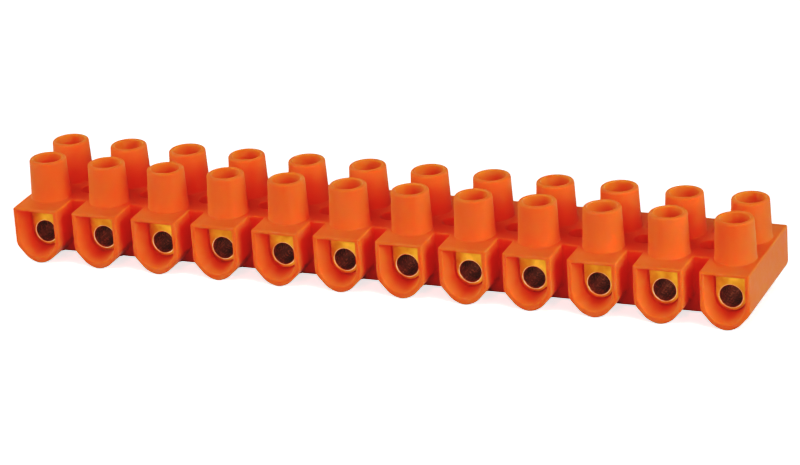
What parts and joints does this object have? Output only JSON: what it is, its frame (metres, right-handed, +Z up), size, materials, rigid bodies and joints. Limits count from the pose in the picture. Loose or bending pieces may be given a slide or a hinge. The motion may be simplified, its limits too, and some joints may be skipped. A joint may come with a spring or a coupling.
{
  "type": "terminal strip",
  "caption": "Moulded terminal strip: a row of round-nosed poles joined by drilled webs, each with a bored brass connector and two slotted screws in raised chimneys.",
  "frame": {"origin": "middle of the strip's box, on the surface that its noses rest on", "axes": "+X along the row towards the last pole, +Y from the front mouths to the rear mouths, +Z up through the chimneys"},
  "size_m": [0.1174, 0.02, 0.0152],
  "materials": {
    "housing_plastic": "soft satin, faintly translucent",
    "connector_brass": "drawn and machined, slightly dull",
    "screw_steel": "zinc plated"
  },
  "bodies": {
    "strip": {"housing": "housing_plastic", "connector_01": "connector_brass", "connector_02": "connector_brass", "connector_03": "connector_brass", "connector_04": "connector_brass", "connector_05": "connector_brass", "connector_06": "connector_brass", "connector_07": "connector_brass", "connector_08": "connector_brass", "connector_09": "connector_brass", "connector_10": "connector_brass", "connector_11": "connector_brass", "connector_12": "connector_brass"},
    "front_screw_01": {"front_screw_01": "screw_steel"},
    "front_screw_02": {"front_screw_02": "screw_steel"},
    "front_screw_03": {"front_screw_03": "screw_steel"},
    "front_screw_04": {"front_screw_04": "screw_steel"},
    "front_screw_05": {"front_screw_05": "screw_steel"},
    "front_screw_06": {"front_screw_06": "screw_steel"},
    "front_screw_07": {"front_screw_07": "screw_steel"},
    "front_screw_08": {"front_screw_08": "screw_steel"},
    "front_screw_09": {"front_screw_09": "screw_steel"},
    "front_screw_10": {"front_screw_10": "screw_steel"},
    "front_screw_11": {"front_screw_11": "screw_steel"},
    "front_screw_12": {"front_screw_12": "screw_steel"},
    "rear_screw_01": {"rear_screw_01": "screw_steel"},
    "rear_screw_02": {"rear_screw_02": "screw_steel"},
    "rear_screw_03": {"rear_screw_03": "screw_steel"},
    "rear_screw_04": {"rear_screw_04": "screw_steel"},
    "rear_screw_05": {"rear_screw_05": "screw_steel"},
    "rear_screw_06": {"rear_screw_06": "screw_steel"},
    "rear_screw_07": {"rear_screw_07": "screw_steel"},
    "rear_screw_08": {"rear_screw_08": "screw_steel"},
    "rear_screw_09": {"rear_screw_09": "screw_steel"},
    "rear_screw_10": {"rear_screw_10": "screw_steel"},
    "rear_screw_11": {"rear_screw_11": "screw_steel"},
    "rear_screw_12": {"rear_screw_12": "screw_steel"}
  },
  "joints": [
    {"name": "front_screw_01_travel", "type": "slide", "parent": "strip", "child": "front_screw_01", "axis": [0, 0, -1], "range_m": [0, 0.0028]},
    {"name": "front_screw_02_travel", "type": "slide", "parent": "strip", "child": "front_screw_02", "axis": [0, 0, -1], "range_m": [0, 0.0028]},
    {"name": "front_screw_03_travel", "type": "slide", "parent": "strip", "child": "front_screw_03", "axis": [0, 0, -1], "range_m": [0, 0.0028]},
    {"name": "front_screw_04_travel", "type": "slide", "parent": "strip", "child": "front_screw_04", "axis": [0, 0, -1], "range_m": [0, 0.0028]},
    {"name": "front_screw_05_travel", "type": "slide", "parent": "strip", "child": "front_screw_05", "axis": [0, 0, -1], "range_m": [0, 0.0028]},
    {"name": "front_screw_06_travel", "type": "slide", "parent": "strip", "child": "front_screw_06", "axis": [0, 0, -1], "range_m": [0, 0.0028]},
    {"name": "front_screw_07_travel", "type": "slide", "parent": "strip", "child": "front_screw_07", "axis": [0, 0, -1], "range_m": [0, 0.0028]},
    {"name": "front_screw_08_travel", "type": "slide", "parent": "strip", "child": "front_screw_08", "axis": [0, 0, -1], "range_m": [0, 0.0028]},
    {"name": "front_screw_09_travel", "type": "slide", "parent": "strip", "child": "front_screw_09", "axis": [0, 0, -1], "range_m": [0, 0.0028]},
    {"name": "front_screw_10_travel", "type": "slide", "parent": "strip", "child": "front_screw_10", "axis": [0, 0, -1], "range_m": [0, 0.0028]},
    {"name": "front_screw_11_travel", "type": "slide", "parent": "strip", "child": "front_screw_11", "axis": [0, 0, -1], "range_m": [0, 0.0028]},
    {"name": "front_screw_12_travel", "type": "slide", "parent": "strip", "child": "front_screw_12", "axis": [0, 0, -1], "range_m": [0, 0.0028]},
    {"name": "rear_screw_01_travel", "type": "slide", "parent": "strip", "child": "rear_screw_01", "axis": [0, 0, -1], "range_m": [0, 0.0028]},
    {"name": "rear_screw_02_travel", "type": "slide", "parent": "strip", "child": "rear_screw_02", "axis": [0, 0, -1], "range_m": [0, 0.0028]},
    {"name": "rear_screw_03_travel", "type": "slide", "parent": "strip", "child": "rear_screw_03", "axis": [0, 0, -1], "range_m": [0, 0.0028]},
    {"name": "rear_screw_04_travel", "type": "slide", "parent": "strip", "child": "rear_screw_04", "axis": [0, 0, -1], "range_m": [0, 0.0028]},
    {"name": "rear_screw_05_travel", "type": "slide", "parent": "strip", "child": "rear_screw_05", "axis": [0, 0, -1], "range_m": [0, 0.0028]},
    {"name": "rear_screw_06_travel", "type": "slide", "parent": "strip", "child": "rear_screw_06", "axis": [0, 0, -1], "range_m": [0, 0.0028]},
    {"name": "rear_screw_07_travel", "type": "slide", "parent": "strip", "child": "rear_screw_07", "axis": [0, 0, -1], "range_m": [0, 0.0028]},
    {"name": "rear_screw_08_travel", "type": "slide", "parent": "strip", "child": "rear_screw_08", "axis": [0, 0, -1], "range_m": [0, 0.0028]},
    {"name": "rear_screw_09_travel", "type": "slide", "parent": "strip", "child": "rear_screw_09", "axis": [0, 0, -1], "range_m": [0, 0.0028]},
    {"name": "rear_screw_10_travel", "type": "slide", "parent": "strip", "child": "rear_screw_10", "axis": [0, 0, -1], "range_m": [0, 0.0028]},
    {"name": "rear_screw_11_travel", "type": "slide", "parent": "strip", "child": "rear_screw_11", "axis": [0, 0, -1], "range_m": [0, 0.0028]},
    {"name": "rear_screw_12_travel", "type": "slide", "parent": "strip", "child": "rear_screw_12", "axis": [0, 0, -1], "range_m": [0, 0.0028]}
  ]
}
